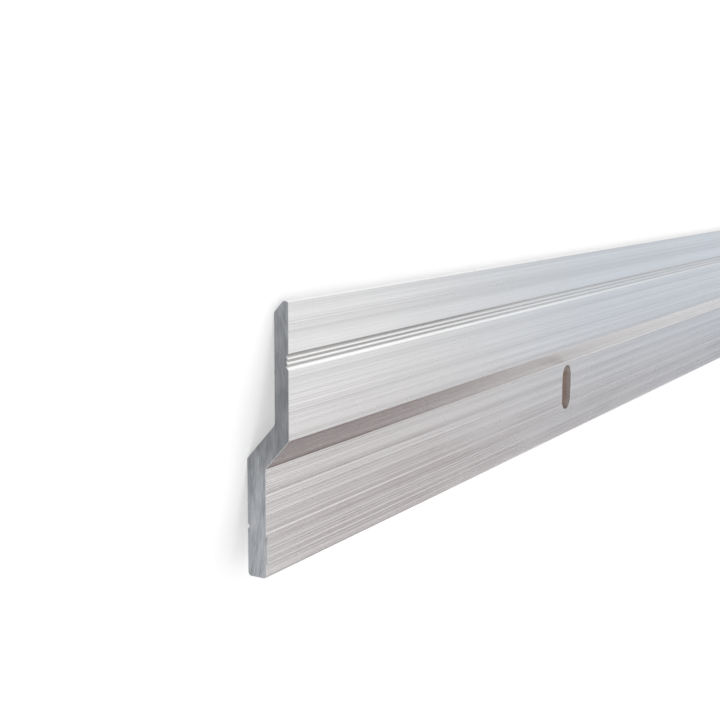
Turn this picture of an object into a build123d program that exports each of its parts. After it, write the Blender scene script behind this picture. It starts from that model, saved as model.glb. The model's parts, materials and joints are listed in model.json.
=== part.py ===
from build123d import *
from math import asin, atan2, cos, degrees, floor, radians, sin, tan
import os

# Hanging rail with a Z section, extruded in aluminium and sawn to a stock length. Two such rails
# hook together, one of them upside down.
# The section is drawn as the rail hangs: heights run up the wall from the free edge of the fixing leg,
# and depths run out from the wall face. The finished rail is then laid down as it comes to rest on a
# floor: on its wall bend and the tip of its hook leg, with X along it, the hook towards +Y and Z up.
# The origin is on the floor, under the middle of the rail's length and breadth.

# Stock
rail_length = 1000.0

# Section
rail_height = 50.0              # free edge of the fixing leg to the tip of the hook leg
rail_depth = 9.0                # wall face to the outer face of the hook leg
fixing_leg_thickness = 4.0
hook_leg_thickness = 3.0
hook_leg_height = 24.4          # outer bend to the tip
web_thickness = 4.0
web_rise = 48.0                 # degrees that the web climbs above square to the wall

# Tip of the hook leg: a land on the outer side, and a lead-in on the throat side
tip_land = 1.1
tip_lead_in = 2.1

# Corner radii
bend_radius = 0.6               # outside of both bends
inner_corner_radius = 1.2       # inside of both bends
free_edge_radius = 0.7
tip_radius = 0.5

# Scribe line in the wall face, which guides a drill
scribe_height = 9.2
scribe_depth = 0.45
scribe_slope = 1.0              # rise of each flank for its run along the face

# Ribbed band in the outer face of the hook leg: V grooves side by side, their crests below the face
band_below_tip = 10.5
band_groove_count = 3
band_groove_pitch = 0.9
band_groove_depth = 0.5
band_crest_drop = 0.1

# Screw slots through the fixing leg, upright as the rail hangs
slot_width = 6.0
slot_length = 12.0
slot_below_corner = 1.0         # inside corner of the web down to the slot's upper end
slot_end_margin = 140.0         # each sawn end to the nearest slot's centre, at least
slot_pitch = 240.0

# Cutters start this far outside the face that they cut
run_out = 1.0

# Section corners as (height, depth), from the free edge along the wall side, round the hook and back
web_slope = tan(radians(web_rise))
throat_depth = rail_depth - hook_leg_thickness
outer_bend_height = rail_height - hook_leg_height
wall_bend_height = outer_bend_height + web_thickness / cos(radians(web_rise)) - rail_depth * web_slope
front_corner_height = outer_bend_height - (rail_depth - fixing_leg_thickness) * web_slope

corners = {
    "wall side of the free edge": Vector(0, 0),
    "wall bend": Vector(wall_bend_height, 0),
    "throat corner": Vector(wall_bend_height + throat_depth * web_slope, throat_depth),
    "lead-in": Vector(rail_height - tip_lead_in, throat_depth),
    "throat side of the tip": Vector(rail_height, rail_depth - tip_land),
    "outer side of the tip": Vector(rail_height, rail_depth),
    "outer bend": Vector(outer_bend_height, rail_depth),
    "front corner": Vector(front_corner_height, fixing_leg_thickness),
    "front side of the free edge": Vector(0, fixing_leg_thickness),
}

corner_radii = {
    "wall side of the free edge": free_edge_radius,
    "wall bend": bend_radius,
    "throat corner": inner_corner_radius,
    "lead-in": tip_radius,
    "throat side of the tip": tip_radius,
    "outer side of the tip": tip_radius,
    "outer bend": bend_radius,
    "front corner": inner_corner_radius,
    "front side of the free edge": free_edge_radius,
}


def rounded_outline():
    """The section without its grooves, each corner rounded by its own radius."""
    outline = make_face(Polyline(*corners.values(), close=True)).face()
    for name, corner in corners.items():
        vertex = outline.vertices().sort_by_distance(corner)[0]
        outline = outline.fillet_2d(corner_radii[name], [vertex])
    return outline


def v_cutter(height, bottom, mouth, slope):
    """A triangle that cuts a V groove: its point at depth bottom, its open side at depth mouth."""
    half_width = abs(mouth - bottom) / slope
    point = Vector(height, bottom)
    return make_face(Polyline(point, (height + half_width, mouth), (height - half_width, mouth), close=True))


def scribe_cutter():
    return v_cutter(scribe_height, scribe_depth, -run_out, scribe_slope)


def band_cutters():
    slope = (band_groove_depth - band_crest_drop) / (band_groove_pitch / 2)
    highest = rail_height - band_below_tip + band_groove_pitch * (band_groove_count - 1) / 2
    bottom = rail_depth - band_groove_depth
    return [v_cutter(highest - i * band_groove_pitch, bottom, rail_depth + run_out, slope)
            for i in range(band_groove_count)]


def section():
    """The whole section: one rounded outline, less the scribe line and the ribbed band."""
    face = Sketch() + rounded_outline() - scribe_cutter()
    for cutter in band_cutters():
        face -= cutter
    return face


def slot_places():
    """Distances of the slots' centres from the sawn end, as many as fit, centred in the length."""
    gaps = floor((rail_length - 2 * slot_end_margin) / slot_pitch)
    first = (rail_length - gaps * slot_pitch) / 2
    return [first + i * slot_pitch for i in range(gaps + 1)]


def slot_cutters():
    """Slots through the fixing leg, with X along the rail, Y up the wall and Z out from it."""
    height = front_corner_height - slot_below_corner - slot_length / 2
    outline = SlotOverall(slot_length, slot_width, rotation=90)
    cutter = extrude(outline, fixing_leg_thickness + 2 * run_out)
    return [Pos(place, height, -run_out) * cutter for place in slot_places()]


def arc_centre(name):
    """Centre of the arc that rounds a named corner of the section."""
    names = list(corners)
    place = names.index(name)
    corner = corners[name]
    before = (corners[names[place - 1]] - corner).normalized()
    after = (corners[names[(place + 1) % len(names)]] - corner).normalized()
    bisector = (before + after).normalized()
    half_angle = radians(bisector.get_angle(after))
    return corner + bisector * (corner_radii[name] / sin(half_angle))


def rest_tilt():
    """Degrees that the hook leg drops until the wall bend and the lead-in both touch the floor."""
    span = arc_centre("lead-in") - arc_centre("wall bend")
    return degrees(atan2(span.Y, span.X) - asin((tip_radius - bend_radius) / span.length))


def laid_down(hanging_rail):
    """The rail turned about its length to its rest, and moved over the origin."""
    rail = Rot(X=-rest_tilt()) * hanging_rail
    box = rail.bounding_box()
    return Pos(-box.center().X, -box.center().Y, -box.min.Z) * rail


def z_rail():
    rail = extrude(Plane.YZ * section(), rail_length)
    for cutter in slot_cutters():
        rail -= cutter
    return laid_down(rail)


os.makedirs("parts", exist_ok=True)
export_step(z_rail(), "parts/z_rail.step")
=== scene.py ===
import json
import random
from math import radians

import bmesh
import bpy
from mathutils import Matrix, Vector

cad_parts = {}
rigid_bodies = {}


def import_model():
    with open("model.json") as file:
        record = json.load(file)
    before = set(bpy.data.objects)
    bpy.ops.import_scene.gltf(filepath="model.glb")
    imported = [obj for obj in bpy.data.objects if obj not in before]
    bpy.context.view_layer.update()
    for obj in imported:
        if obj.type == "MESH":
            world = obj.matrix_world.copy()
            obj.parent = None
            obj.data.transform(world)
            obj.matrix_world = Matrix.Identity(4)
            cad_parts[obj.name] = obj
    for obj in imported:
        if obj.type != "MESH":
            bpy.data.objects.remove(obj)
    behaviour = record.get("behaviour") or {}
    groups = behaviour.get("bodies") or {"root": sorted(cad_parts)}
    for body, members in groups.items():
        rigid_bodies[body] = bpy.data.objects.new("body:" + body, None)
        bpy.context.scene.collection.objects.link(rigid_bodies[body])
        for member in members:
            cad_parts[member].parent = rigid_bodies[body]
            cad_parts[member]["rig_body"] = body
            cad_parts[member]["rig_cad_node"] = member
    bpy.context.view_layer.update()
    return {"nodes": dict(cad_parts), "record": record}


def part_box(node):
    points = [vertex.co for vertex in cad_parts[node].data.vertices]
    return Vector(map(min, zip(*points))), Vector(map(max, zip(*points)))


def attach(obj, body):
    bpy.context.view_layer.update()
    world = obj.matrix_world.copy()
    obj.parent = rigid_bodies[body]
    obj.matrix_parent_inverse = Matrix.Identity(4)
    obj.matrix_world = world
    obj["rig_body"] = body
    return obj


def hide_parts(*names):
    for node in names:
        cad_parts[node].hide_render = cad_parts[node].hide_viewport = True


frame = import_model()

# Hanging rail with a Z section, extruded in aluminium and sawn to length, as it lies on a floor.
# The CAD node has the true section, slots and length. The piece made here starts from a merged copy of
# it and adds what is too fine for CAD: die lines drawn out by the extrusion, eased band crests, broken
# slot rims and sawn edges, and the ragged lip that the saw leaves.
# Everything is in metres, X along the rail, the hook towards +Y, Z up.

MM = 0.001
# Points this close to each other, or to a line, count as on it
TOUCHING = 0.001 * MM
# Faces that meet at less than this are shaded as one
SMOOTH_BELOW = radians(24)

# Directions of the section, from the stated mounts
mounts = {mount["name"]: mount for mount in frame["record"]["mounts"]}
ALONG = Vector((1, 0, 0))
OUT_OF_WALL = Vector(mounts["panel_face"]["axis"])
UP_THE_WALL = OUT_OF_WALL.cross(ALONG)

rail_cad = frame["nodes"]["z_rail"]
FREE_EDGE = min(v.co.dot(UP_THE_WALL) for v in rail_cad.data.vertices)
WALL_FACE = min(v.co.dot(OUT_OF_WALL) for v in rail_cad.data.vertices)
SAWN_END, FAR_END = (corner.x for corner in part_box("z_rail"))
slots = [Vector(mount["pos_m"]) for name, mount in mounts.items() if name.startswith("screw_slot")]
SLOT_WIDTH = 2 * mounts["screw_slot_1"]["dims"]["hole_r_mm"] * MM
SLOT_LENGTH = mounts["screw_slot_1"]["dims"]["slot_length_mm"] * MM


def height(point):
    """How far a point is up the wall from the rail's free edge."""
    return point.dot(UP_THE_WALL) - FREE_EDGE


def depth(point):
    """How far a point is out from the wall."""
    return point.dot(OUT_OF_WALL) - WALL_FACE


def place(along, up, out):
    """The point at these distances from the seen sawn end, the free edge and the wall."""
    return (ALONG * (SAWN_END + along) + UP_THE_WALL * (FREE_EDGE + up)
            + OUT_OF_WALL * (WALL_FACE + out))


# Modelling

def pick(piece, kind, wanted):
    """Selects, in edit mode, only the "verts", "edges" or "faces" that wanted(element) accepts."""
    bpy.ops.mesh.select_all(action="DESELECT")
    bpy.ops.mesh.select_mode(type={"verts": "VERT", "edges": "EDGE", "faces": "FACE"}[kind])
    mesh = bmesh.from_edit_mesh(piece.data)
    mesh.normal_update()
    for element in getattr(mesh, kind):
        if wanted(element):
            element.select_set(True)
    mesh.select_flush_mode()
    bmesh.update_edit_mesh(piece.data)


# Faces of the section that carry die lines: which way they face and how far out from the wall they lie
HOOK_FRONT = (OUT_OF_WALL, 9.0 * MM)
LEG_FRONT = (OUT_OF_WALL, 4.0 * MM)
WALL_SIDE = (-OUT_OF_WALL, 0.0)
THROAT_SIDE = (-OUT_OF_WALL, 6.0 * MM)

# The die lines that stand out, in mm: height up from the free edge, breadth of the flank above and of the
# one below, and how far the line is cut in (a raised line has a minus)
LEG_LINES = (
    (1.55, 0.20, 0.22, 0.008), (2.90, 0.28, 0.26, 0.019), (3.75, 0.20, 0.24, -0.010),
    (5.08, 0.22, 0.26, -0.014), (6.15, 0.30, 0.22, 0.008), (7.10, 0.26, 0.22, 0.010),
    (8.18, 0.18, 0.22, -0.018), (9.50, 0.25, 0.25, 0.006), (10.15, 0.22, 0.40, -0.007),
    (11.65, 0.24, 0.28, -0.010), (12.62, 0.26, 0.30, -0.010), (13.60, 0.40, 0.24, 0.005),
    (15.28, 0.62, 0.30, 0.017), (16.30, 0.26, 0.50, -0.005), (18.10, 0.34, 0.46, -0.007))
HOOK_LINES = (
    (26.85, 0.26, 0.26, 0.003), (28.00, 0.26, 0.24, 0.004), (29.30, 0.40, 0.30, 0.002),
    (31.98, 0.36, 0.24, 0.002), (33.70, 0.50, 0.40, 0.003), (35.85, 0.34, 0.26, 0.002),
    (43.60, 0.40, 0.30, 0.003), (46.60, 0.50, 0.30, 0.004), (48.20, 0.40, 0.30, 0.004))

# The other faces' die lines: the face, the lowest and highest in mm, and how many
HIDDEN_LINES = ((WALL_SIDE, 1.0, 8.4, 6), (WALL_SIDE, 10.2, 20.5, 8), (THROAT_SIDE, 30.0, 47.0, 9))

# The ribbed band on the hook's front: its heights, its crests' heights and least depth, and the height
# above which its top groove lies
BAND = (38.5 * MM, 41 * MM)
CRESTS = (38.9 * MM, 40.1 * MM)
CREST_DEPTH = 8.85 * MM
TOP_GROOVE_ABOVE = 40.4 * MM

# The strip beside each cut that the sawn edge and its burr shape
STRIP = 0.45 * MM

# The burr in mm: where it starts and ends up the leg, its teeth's pitch, how far it reaches out, how much
# the reach drifts from tooth to tooth, and how far the chips at its ends stand out beyond it
BURR_FROM, BURR_TO = 2.9, 7.3
BURR_PITCH = (0.22, 0.40)
BURR_REACH = (0.2, 0.3)
BURR_DRIFT = 0.05
BURR_CHIP = 0.16
# What the burr takes of the leg, in mm: faces this far out from the wall are cut into rows, and vertices
# this far out, and this near the cut, are drawn out
BURR_FACES_BEYOND = 3.7
BURR_VERTICES_BEYOND = 3.9
BURR_VERTICES_WITHIN = 0.2


def copy_of_cad_rail():
    """A merged copy of the CAD rail, its flat faces whole again."""
    bpy.ops.object.select_all(action="DESELECT")
    rail_cad.select_set(True)
    bpy.context.view_layer.objects.active = rail_cad
    bpy.ops.object.duplicate(linked=False)
    rail = bpy.context.active_object
    rail.name = "rail"
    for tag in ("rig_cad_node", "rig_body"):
        del rail[tag]
    rail.parent = None
    bpy.ops.object.mode_set(mode="EDIT")
    bpy.ops.mesh.select_all(action="SELECT")
    bpy.ops.mesh.customdata_custom_splitnormals_clear()
    bpy.ops.mesh.remove_doubles(threshold=TOUCHING)
    bpy.ops.mesh.dissolve_limited(angle_limit=radians(0.2))
    return rail


def in_a_slot(point, spare):
    """Whether a point lies within a slot's outline, or this much outside it."""
    return any(abs(point.x - slot.x) < SLOT_WIDTH / 2 + spare
               and abs(height(point) - height(slot)) < SLOT_LENGTH / 2 + spare for slot in slots)


def break_slot_rims(rail):
    """The punch leaves each slot's rim slightly rounded, front and back."""
    pick(rail, "edges", lambda e: all(in_a_slot(v.co, 0.05 * MM) for v in e.verts)
         and e.calc_face_angle(0.0) > radians(45))
    bpy.ops.mesh.bevel(offset=0.12 * MM, segments=2, affect="EDGES")


def ease_band_crests(rail):
    """The two crests of the ribbed band come out of the die with a rounded top."""
    pick(rail, "edges", lambda e: all(CRESTS[0] < height(v.co) < CRESTS[1] and depth(v.co) > CREST_DEPTH
                                      for v in e.verts))
    bpy.ops.mesh.bevel(offset=0.2 * MM, segments=3, affect="EDGES")


def ring_near_ends(rail):
    """A cut right round the rail just inside each sawn end, so that the sawn edge shapes only a strip."""
    for end, inwards in ((SAWN_END, 1), (FAR_END, -1)):
        bpy.ops.mesh.select_all(action="SELECT")
        bpy.ops.mesh.bisect(plane_co=(end + inwards * STRIP, 0, 0), plane_no=ALONG)


def cut_die_line(rail, face, up, above, below, cut):
    """One line drawn along a face by a nick in the die, with crisp edges. Its middle is picked last, so
    that alone is moved."""
    outwards, from_wall = face

    def on_the_face(f):
        return (f.normal.dot(outwards) > 0.999
                and abs(depth(f.calc_center_median()) - from_wall) < 0.05 * MM)

    top_bottom_and_middle = (up + above, up - below, up)
    for edge_height in top_bottom_and_middle:
        pick(rail, "faces", on_the_face)
        bpy.ops.mesh.bisect(plane_co=place(0, edge_height, 0), plane_no=UP_THE_WALL)
    for edge_height in top_bottom_and_middle:
        pick(rail, "edges", lambda e: all(abs(height(v.co) - edge_height) < TOUCHING
                                          and abs(depth(v.co) - from_wall) < TOUCHING for v in e.verts))
        bpy.ops.mesh.mark_sharp()
    bpy.ops.transform.translate(value=-outwards * cut)


def die_lines(rail):
    """The lines that stand out on the two fronts, and chance ones on the faces towards the wall."""
    for face, lines in ((LEG_FRONT, LEG_LINES), (HOOK_FRONT, HOOK_LINES)):
        for up, above, below, cut in lines:
            cut_die_line(rail, face, up * MM, above * MM, below * MM, cut * MM)
    nicks = random.Random(4)
    for face, lowest, highest, count in HIDDEN_LINES:
        room = (highest - lowest) / count
        for i in range(count):
            up = lowest + room * (i + nicks.uniform(0.3, 0.7))
            cut_die_line(rail, face, up * MM, nicks.uniform(0.2, 0.45) * MM, nicks.uniform(0.2, 0.45) * MM,
                         nicks.uniform(0.006, 0.02) * MM)


def break_sawn_edges(rail):
    """The edges round both cuts are taken off by a hair."""
    pick(rail, "edges", lambda e: all(min(abs(v.co.x - SAWN_END), abs(v.co.x - FAR_END)) < TOUCHING
                                      for v in e.verts))
    bpy.ops.mesh.bevel(offset=0.05 * MM, segments=1, affect="EDGES")


def saw_burr(rail):
    """The ragged lip that the blade pushed over the leg's front edge where it left the cut."""
    teeth = random.Random(11)
    up = BURR_FROM * MM
    while up < BURR_TO * MM:
        pick(rail, "faces", lambda f: f.calc_center_median().x < SAWN_END + STRIP
             and depth(f.calc_center_median()) > BURR_FACES_BEYOND * MM and abs(f.normal.x) < 0.99)
        bpy.ops.mesh.bisect(plane_co=place(0, up, 0), plane_no=UP_THE_WALL, threshold=TOUCHING)
        up += teeth.uniform(*BURR_PITCH) * MM

    def on_lip(v):
        return (v.co.x < SAWN_END + BURR_VERTICES_WITHIN * MM and depth(v.co) > BURR_VERTICES_BEYOND * MM
                and BURR_FROM * MM - 0.01 * MM < height(v.co) < up)

    rows = sorted({round(height(v.co) / MM, 1) for v in bmesh.from_edit_mesh(rail.data).verts if on_lip(v)})
    reach = sum(BURR_REACH) / 2
    for row in rows:
        reach = min(max(reach + teeth.uniform(-BURR_DRIFT, BURR_DRIFT), BURR_REACH[0]), BURR_REACH[1])
        chip = BURR_CHIP if row in (rows[0], rows[-1]) else 0.0
        pick(rail, "verts", lambda v: on_lip(v) and round(height(v.co) / MM, 1) == row)
        bpy.ops.transform.translate(value=OUT_OF_WALL * (reach + chip) * MM)


def finish_rail(rail):
    """Smooth shading, with the flats even and the marked edges crisp."""
    bpy.ops.mesh.select_all(action="SELECT")
    bpy.ops.object.mode_set(mode="OBJECT")
    bpy.ops.object.shade_smooth_by_angle(angle=SMOOTH_BELOW, keep_sharp_edges=True)
    weigh = rail.modifiers.new("even flats", "WEIGHTED_NORMAL")
    weigh.keep_sharp = True
    bpy.ops.object.modifier_apply(modifier=weigh.name)


rail = copy_of_cad_rail()
break_slot_rims(rail)
ease_band_crests(rail)
ring_near_ends(rail)
die_lines(rail)
break_sawn_edges(rail)
saw_burr(rail)
finish_rail(rail)
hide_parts("z_rail")
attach(rail, "root")


# Materials

def linear(hex_code):
    """An sRGB hex colour as the linear RGBA that nodes take."""
    values = [int(hex_code[i:i + 2], 16) / 255 for i in (0, 2, 4)]
    return [v / 12.92 if v <= 0.04045 else ((v + 0.055) / 1.055) ** 2.4 for v in values] + [1.0]


def add_node(tree, kind, inputs=None, **settings):
    """Adds a shader node: settings are its own choices, inputs are values or other nodes' outputs."""
    node = tree.nodes.new("ShaderNode" + kind)
    for name, value in settings.items():
        setattr(node, name, value)
    for name, value in (inputs or {}).items():
        if isinstance(value, bpy.types.NodeSocket):
            tree.links.new(value, node.inputs[name])
        else:
            node.inputs[name].default_value = value
    return node


def between(tree, value, limits):
    """How far a value has come from one limit to the other, from 0 to 1, with soft ends."""
    return add_node(tree, "MapRange", {"Value": value, "From Min": limits[0], "From Max": limits[1],
                                       "To Min": 0.0, "To Max": 1.0},
                    interpolation_type="SMOOTHSTEP").outputs["Result"]


def new_material(name):
    """An empty material and its node tree."""
    material = bpy.data.materials.new(name)
    material.use_nodes = True
    material.node_tree.nodes.clear()
    return material, material.node_tree


def drawn_noise(tree, across, along, detail, roughness=0.6):
    """Noise drawn out along the rail: streaks this wide across it and this long along it, in metres."""
    coords = add_node(tree, "TexCoord").outputs["Object"]
    drawn = add_node(tree, "Mapping", {"Vector": coords, "Scale": (1 / along, 1 / across, 1 / across)})
    return add_node(tree, "TexNoise", {"Vector": drawn.outputs["Vector"], "Scale": 1.0, "Detail": detail,
                                       "Roughness": roughness}).outputs["Fac"]


# How far in from each cut the painted shade on the band's down-facing groove flanks is whole, and from where
# on there is none
PAINTED_SHADE_WHOLE_TO, NO_PAINTED_SHADE_FROM = 50 * MM, 110 * MM

# The middle of the saw's blade as it cut: level with the web and well behind the wall face
BLADE_HUB = place(0, 25 * MM, -160 * MM)


def mill_finish(name, dark, light, painted_shade_tint=None):
    """Extruded aluminium as it leaves the die: a bright satin with hair lines of every width drawn along it.
    Where a painted shade tint is given, the metal turns to that tint towards both cuts, as painted shade."""
    material, tree = new_material(name)
    # The die's fine lines, single hairs, the face's slow unevenness, and patches of duller metal. Real hair
    # lines are finer than shows, so the hairs are drawn half a millimetre broad.
    lines = drawn_noise(tree, 1.3 * MM, 900 * MM, 3.0, 0.72)
    hairs = drawn_noise(tree, 0.5 * MM, 260 * MM, 1.0)
    waves = drawn_noise(tree, 7 * MM, 900 * MM, 1.0)
    haze = drawn_noise(tree, 14 * MM, 60 * MM, 3.0)
    shade = add_node(tree, "MapRange", {"Value": lines, "From Min": 0.38, "From Max": 0.62, "To Min": 0.0,
                                        "To Max": 1.0}).outputs["Result"]
    tint = add_node(tree, "Mix", {"Factor": shade, 6: linear(dark), 7: linear(light)},
                    data_type="RGBA").outputs[2]
    # Painted shade on the band's down-facing groove flanks: whole near both cuts, none farther in
    if painted_shade_tint:
        along = add_node(tree, "TexCoord").outputs["Object"]
        along = add_node(tree, "SeparateXYZ", {"Vector": along}).outputs["X"]
        along = add_node(tree, "Math", {0: along}, operation="ABSOLUTE").outputs[0]
        painted_shade_near_a_cut = between(tree, along, (FAR_END - NO_PAINTED_SHADE_FROM, FAR_END - PAINTED_SHADE_WHOLE_TO))
        tint = add_node(tree, "Mix", {"Factor": painted_shade_near_a_cut, 6: tint, 7: linear(painted_shade_tint)},
                        data_type="RGBA").outputs[2]
    bright_hair = add_node(tree, "MapRange", {"Value": hairs, "From Min": 0.58, "From Max": 0.62,
                                              "To Min": 0.0, "To Max": 0.012}).outputs["Result"]
    dark_hair = add_node(tree, "MapRange", {"Value": hairs, "From Min": 0.42, "From Max": 0.38,
                                            "To Min": 0.0, "To Max": 0.012}).outputs["Result"]
    hair = add_node(tree, "Math", {0: bright_hair, 1: dark_hair}, operation="SUBTRACT").outputs[0]
    rough = add_node(tree, "MapRange", {"Value": haze, "From Min": 0.3, "From Max": 0.7, "To Min": 0.22,
                                        "To Max": 0.30}).outputs["Result"]
    relief = add_node(tree, "Bump", {"Height": lines, "Strength": 1.0, "Distance": 0.033 * MM})
    relief = add_node(tree, "Bump", {"Height": waves, "Strength": 1.0, "Distance": 0.05 * MM,
                                     "Normal": relief.outputs["Normal"]})
    relief = add_node(tree, "Bump", {"Height": hair, "Strength": 1.0, "Distance": 0.4 * MM,
                                     "Normal": relief.outputs["Normal"]})
    grain = add_node(tree, "CombineXYZ", {"X": 1.0})
    metal = add_node(tree, "BsdfPrincipled", {
        "Base Color": tint, "Metallic": 1.0, "Roughness": rough, "Anisotropic": 0.35,
        "Anisotropic Rotation": 0.25, "Tangent": grain.outputs["Vector"],
        "Normal": relief.outputs["Normal"]})
    add_node(tree, "OutputMaterial", {"Surface": metal.outputs["BSDF"]})
    return material


def saw_cut():
    """Aluminium sawn by a toothed blade: grey and cool, scuffed in fine broken marks along the blade's path.
    From the web to the hook it is dimmer than on the leg, which is a painted shadow that eases towards the
    hook's tip."""
    material, tree = new_material("saw_cut_aluminium")
    coords = add_node(tree, "TexCoord").outputs["Object"]
    reach = add_node(tree, "VectorMath", {0: coords, 1: BLADE_HUB}, operation="DISTANCE").outputs["Value"]
    up = add_node(tree, "VectorMath", {0: coords, 1: UP_THE_WALL}, operation="DOT_PRODUCT").outputs["Value"]
    path = add_node(tree, "CombineXYZ", {"X": reach, "Y": up}).outputs["Vector"]
    scuffs = add_node(tree, "Mapping", {"Vector": path, "Scale": (1 / (0.20 * MM), 1 / (3.2 * MM), 1.0)})
    marks = add_node(tree, "TexNoise", {"Vector": scuffs.outputs["Vector"], "Scale": 1.0, "Detail": 3.0,
                                        "Roughness": 0.6}).outputs["Fac"]
    patches = add_node(tree, "Mapping", {"Vector": path, "Scale": (1 / (1.6 * MM), 1 / (6 * MM), 1.0)})
    smear = add_node(tree, "TexNoise", {"Vector": patches.outputs["Vector"], "Scale": 1.0,
                                        "Detail": 2.0}).outputs["Fac"]
    both = add_node(tree, "Math", {0: marks, 1: smear}, operation="ADD").outputs[0]
    shade = add_node(tree, "MapRange", {"Value": both, "From Min": 0.72, "From Max": 1.28, "To Min": 0.0,
                                        "To Max": 1.0}).outputs["Result"]
    tint = add_node(tree, "Mix", {"Factor": shade, 6: linear("8b8e92"), 7: linear("b9bbbf")},
                    data_type="RGBA").outputs[2]
    # Painted shadow: the cut dims from the web up the hook and eases again towards the tip
    painted_shadow_over_the_hook = between(tree, up, (FREE_EDGE + 14 * MM, FREE_EDGE + 28 * MM))
    painted_shadow_over_the_hook = add_node(tree, "Math", {0: painted_shadow_over_the_hook, 1: -0.4, 2: 1.0},
                           operation="MULTIPLY_ADD").outputs[0]
    painted_shadow_easing_to_the_tip = between(tree, up, (FREE_EDGE + 33 * MM, FREE_EDGE + 50 * MM))
    painted_shadow = add_node(tree, "Math", {0: painted_shadow_easing_to_the_tip, 1: 0.22, 2: painted_shadow_over_the_hook},
                      operation="MULTIPLY_ADD").outputs[0]
    tint = add_node(tree, "Mix", {"Factor": 1.0, 6: tint, 7: painted_shadow}, data_type="RGBA",
                    blend_type="MULTIPLY").outputs[2]
    relief = add_node(tree, "Bump", {"Height": marks, "Strength": 1.0, "Distance": 0.03 * MM})
    metal = add_node(tree, "BsdfPrincipled", {
        "Base Color": tint, "Metallic": 1.0, "Roughness": 0.48, "Normal": relief.outputs["Normal"]})
    add_node(tree, "OutputMaterial", {"Surface": metal.outputs["BSDF"]})
    return material


def punched_wall():
    """The slots' walls: dull metal, with a burnish where the punch came in at the front and tearing behind
    that, in marks that run through the leg. The tearing behind the burnish is also tinted dimmer as painted
    shade deeper in the slot."""
    material, tree = new_material("punched_aluminium_slot_wall")
    coords = add_node(tree, "TexCoord").outputs["Object"]
    out = add_node(tree, "VectorMath", {0: coords, 1: OUT_OF_WALL}, operation="DOT_PRODUCT").outputs["Value"]
    up = add_node(tree, "VectorMath", {0: coords, 1: UP_THE_WALL}, operation="DOT_PRODUCT").outputs["Value"]
    along = add_node(tree, "SeparateXYZ", {"Vector": coords}).outputs["X"]
    wall = add_node(tree, "CombineXYZ", {"X": out, "Y": up, "Z": along}).outputs["Vector"]
    sheared = add_node(tree, "Mapping", {"Vector": wall,
                                         "Scale": (1 / (5 * MM), 1 / (0.35 * MM), 1 / (0.35 * MM))})
    marks = add_node(tree, "TexNoise", {"Vector": sheared.outputs["Vector"], "Scale": 1.0,
                                        "Detail": 2.0}).outputs["Fac"]
    # The tearing's tint is dimmer than the burnish's, partly as painted shade deeper in the slot
    torn_and_painted_shade = add_node(tree, "Mix", {"Factor": marks, 6: linear("97857d"), 7: linear("c2b1a7")},
                    data_type="RGBA").outputs[2]
    # Lighter towards the front: partly the punch's real burnish, partly painted shade deeper in the slot
    burnish_and_painted_shade = add_node(tree, "MapRange", {"Value": out, "From Min": WALL_FACE + 2.4 * MM,
                                            "From Max": WALL_FACE + 3.2 * MM, "To Min": 0.0,
                                            "To Max": 1.0}).outputs["Result"]
    tint = add_node(tree, "Mix", {"Factor": burnish_and_painted_shade, 6: torn_and_painted_shade, 7: linear("bdb6b3")},
                    data_type="RGBA").outputs[2]
    relief = add_node(tree, "Bump", {"Height": marks, "Strength": 1.0, "Distance": 0.03 * MM})
    metal = add_node(tree, "BsdfPrincipled", {
        "Base Color": tint, "Metallic": 1.0, "Roughness": 0.5, "Normal": relief.outputs["Normal"]})
    add_node(tree, "OutputMaterial", {"Surface": metal.outputs["BSDF"]})
    return material


# The places of the rail's five finishes among its materials; the two groove ones carry painted shade
MILL, SAWN, PUNCHED, TOP_GROOVE, OTHER_GROOVES = range(5)


def finish_of(face):
    """Which of the rail's five finishes a face has."""
    if abs(face.normal.x) > 0.99 and abs(face.center.x) > FAR_END - 0.1 * MM:
        return SAWN
    if in_a_slot(face.center, 0.02 * MM) and abs(face.normal.dot(OUT_OF_WALL)) < 0.2:
        return PUNCHED
    # The band's down-facing flanks take the finishes with painted shade
    if BAND[0] < height(face.center) < BAND[1] and face.normal.dot(UP_THE_WALL) < -0.4:
        return TOP_GROOVE if height(face.center) > TOP_GROOVE_ABOVE else OTHER_GROOVES
    return MILL


# The two groove finishes are the mill finish with painted shade on the down-facing flanks: the top groove's
# is dimmer all along, and both are dimmer still near the cuts
rail.data.materials.clear()
for finish in (mill_finish("mill_finish_extruded_aluminium", "d9d9d9", "e7e7e7"), saw_cut(), punched_wall(),
               mill_finish("dulled_aluminium_in_the_top_groove", "d2d1d0", "e0dfde", "b0aeac"),
               mill_finish("dulled_aluminium_in_the_other_grooves", "d9d9d9", "e7e7e7", "c3c1bf")):
    rail.data.materials.append(finish)
for face in rail.data.polygons:
    face.material_index = finish_of(face)


# Floor, light and camera

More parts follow.
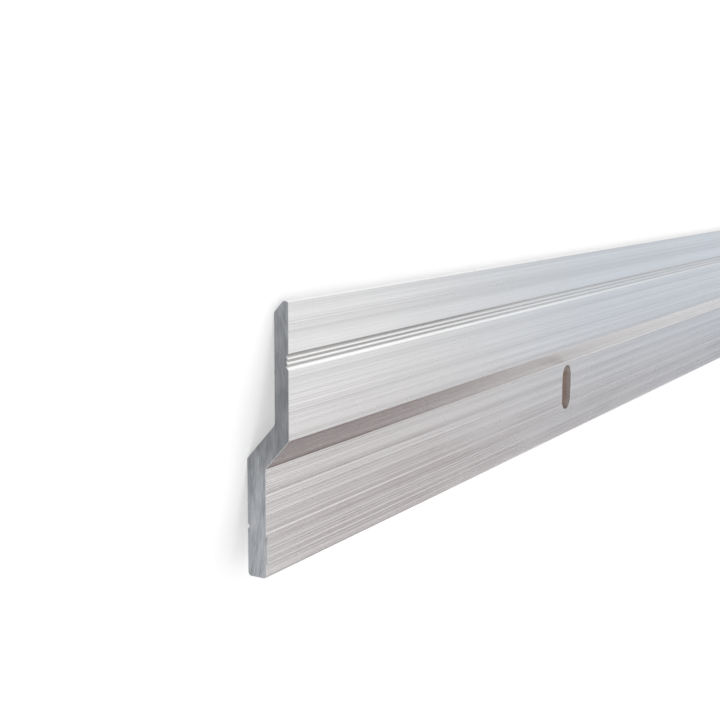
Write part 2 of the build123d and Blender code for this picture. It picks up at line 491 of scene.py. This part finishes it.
def floor():
    """A pale matt floor. Its glow, which only the camera and mirror rays see, lifts it to white while the
    rail's shadow stays."""
    bpy.ops.object.select_all(action="DESELECT")
    bpy.ops.mesh.primitive_plane_add(size=12.0)
    ground = bpy.context.active_object
    ground.name = "floor"
    material, tree = new_material("pale_matt_floor")
    matt = add_node(tree, "BsdfDiffuse", {"Color": linear("f2f2f2")})
    glow = add_node(tree, "Emission", {"Color": linear("ffffff"), "Strength": 0.26})
    both = add_node(tree, "AddShader", {0: matt.outputs[0], 1: glow.outputs[0]})
    rays = add_node(tree, "LightPath")
    seen = add_node(tree, "Math", {0: rays.outputs["Is Camera Ray"], 1: rays.outputs["Is Glossy Ray"]},
                    operation="MAXIMUM")
    seen = add_node(tree, "Math", {0: seen.outputs[0], 1: rays.outputs["Is Transmission Ray"]},
                    operation="MAXIMUM")
    mixed = add_node(tree, "MixShader", {"Fac": seen.outputs[0], 1: matt.outputs[0], 2: both.outputs[0]})
    add_node(tree, "OutputMaterial", {"Surface": mixed.outputs[0]})
    ground.data.materials.append(material)


def softbox(name, where, aim, size, power):
    """A rectangular lamp of this many watts, turned towards a point."""
    bpy.ops.object.light_add(type="AREA", location=where)
    lamp = bpy.context.active_object
    lamp.name = name
    lamp.data.shape = "RECTANGLE"
    lamp.data.size, lamp.data.size_y = size
    lamp.data.energy = power
    lamp.rotation_euler = (Vector(aim) - Vector(where)).to_track_quat("-Z", "Y").to_euler()


# The studio is lit at one plain level. Only ahead, along the rail, is it graded from side to side, as strip
# lights and grey flags would do.
PLAIN_LEVEL = 0.85
BRIGHTEST = 1.35
# How much of a direction points along the rail where the grading begins and where it is whole, and the same
# for the light farthest ahead
AHEAD = (0.60, 0.76)
FARTHEST_AHEAD = (0.865, 0.93)
# Directions are turned round the rail's length, so how far they point along it counts for this much less
SQUEEZE_ALONG = 0.25
# Each row says how far to the side a direction points (-1 to 1), then how bright the studio is there and
# its colour, first ahead of the rail and then farthest along it
LIGHT_ROUND_THE_RAIL = (
    (-0.86, 0.12, "ffa49e", 0.98, "fffaf8"), (-0.66, 0.95, "ffffff", 0.90, "f6faff"),
    (-0.48, 0.95, "ffffff", 0.84, "f6faff"), (-0.37, 0.21, "ffcbc6", 0.26, "ffe8e8"),
    (-0.25, 0.21, "ffcbc6", 0.26, "ffe8e8"), (-0.145, 1.11, "ffffff", 0.95, "eaf4ff"),
    (0.00, 1.07, "ffffff", 0.89, "eaf4ff"), (0.14, 0.78, "ffffff", 0.70, "f0f7ff"),
    (0.70, 0.78, "ffffff", 0.70, "f6faff"), (0.86, 1.35, "ffffff", 0.95, "f6faff"))


def light_ramp(tree, where, column):
    """The graded light ahead (column 1) or farthest ahead (column 3), as a share of the brightest."""
    node = add_node(tree, "ValToRGB", {"Fac": where})
    ramp = node.color_ramp
    ramp.interpolation = "EASE"
    for row in LIGHT_ROUND_THE_RAIL[1:-1]:
        ramp.elements.new((row[0] + 1) / 2)
    ramp.elements[0].position = (LIGHT_ROUND_THE_RAIL[0][0] + 1) / 2
    ramp.elements[len(ramp.elements) - 1].position = (LIGHT_ROUND_THE_RAIL[-1][0] + 1) / 2
    for stop, row in zip(ramp.elements, LIGHT_ROUND_THE_RAIL):
        stop.color = [row[column] / BRIGHTEST * part for part in linear(row[column + 1])[:3]] + [1.0]
    return node.outputs["Color"]


def studio():
    """The plain and graded light all round, white where the camera sees past the floor, and one softbox."""
    scene = bpy.context.scene
    scene.view_settings.view_transform = "Standard"
    scene.world = bpy.data.worlds.new("studio")
    scene.world.use_nodes = True
    tree = scene.world.node_tree
    tree.nodes.clear()
    coords = add_node(tree, "TexCoord").outputs["Generated"]
    around = add_node(tree, "VectorMath", {0: coords, 1: (SQUEEZE_ALONG, 1.0, 1.0)}, operation="MULTIPLY")
    around = add_node(tree, "VectorMath", {0: around.outputs["Vector"]}, operation="NORMALIZE")
    side = add_node(tree, "SeparateXYZ", {"Vector": around.outputs["Vector"]}).outputs["Y"]
    turned = add_node(tree, "Math", {0: side, 1: 0.5, 2: 0.5}, operation="MULTIPLY_ADD").outputs[0]
    forward = add_node(tree, "SeparateXYZ", {"Vector": coords}).outputs["X"]
    ahead = between(tree, forward, AHEAD)
    farthest = between(tree, forward, FARTHEST_AHEAD)
    graded = add_node(tree, "Mix", {"Factor": farthest, 6: light_ramp(tree, turned, 1),
                                    7: light_ramp(tree, turned, 3)}, data_type="RGBA").outputs[2]
    plain = [PLAIN_LEVEL / BRIGHTEST] * 3 + [1.0]
    light = add_node(tree, "Mix", {"Factor": ahead, 6: plain, 7: graded}, data_type="RGBA").outputs[2]
    lit = add_node(tree, "Background", {"Color": light, "Strength": BRIGHTEST})
    white = add_node(tree, "Background", {"Color": linear("ffffff"), "Strength": 1.0})
    seen = add_node(tree, "LightPath").outputs["Is Camera Ray"]
    sky = add_node(tree, "MixShader", {"Fac": seen, 1: lit.outputs[0], 2: white.outputs[0]})
    add_node(tree, "OutputWorld", {"Surface": sky.outputs[0]})
    softbox("overhead_softbox", where=(0.2, 0.5, 1.6), aim=(0, 0, 0), size=(3.2, 2.4), power=5)


def camera():
    """Close to the sawn end, rolled so that the lying rail's fronts and cut show upright."""
    stand = Vector((-671.7, 74.5, 112.6)) * MM
    heading, dip, roll = 107.65, 27.63, -110.0
    turn = (Matrix.Rotation(radians(-heading), 4, "Z") @ Matrix.Rotation(radians(90 - dip), 4, "X")
            @ Matrix.Rotation(radians(-roll), 4, "Z"))
    bpy.ops.object.camera_add()
    eye = bpy.context.active_object
    eye.matrix_world = Matrix.Translation(stand) @ turn
    eye.data.sensor_width = 36
    eye.data.lens = 61.85
    eye.data.clip_start = 10 * MM
    bpy.context.scene.camera = eye


floor()
studio()
camera()
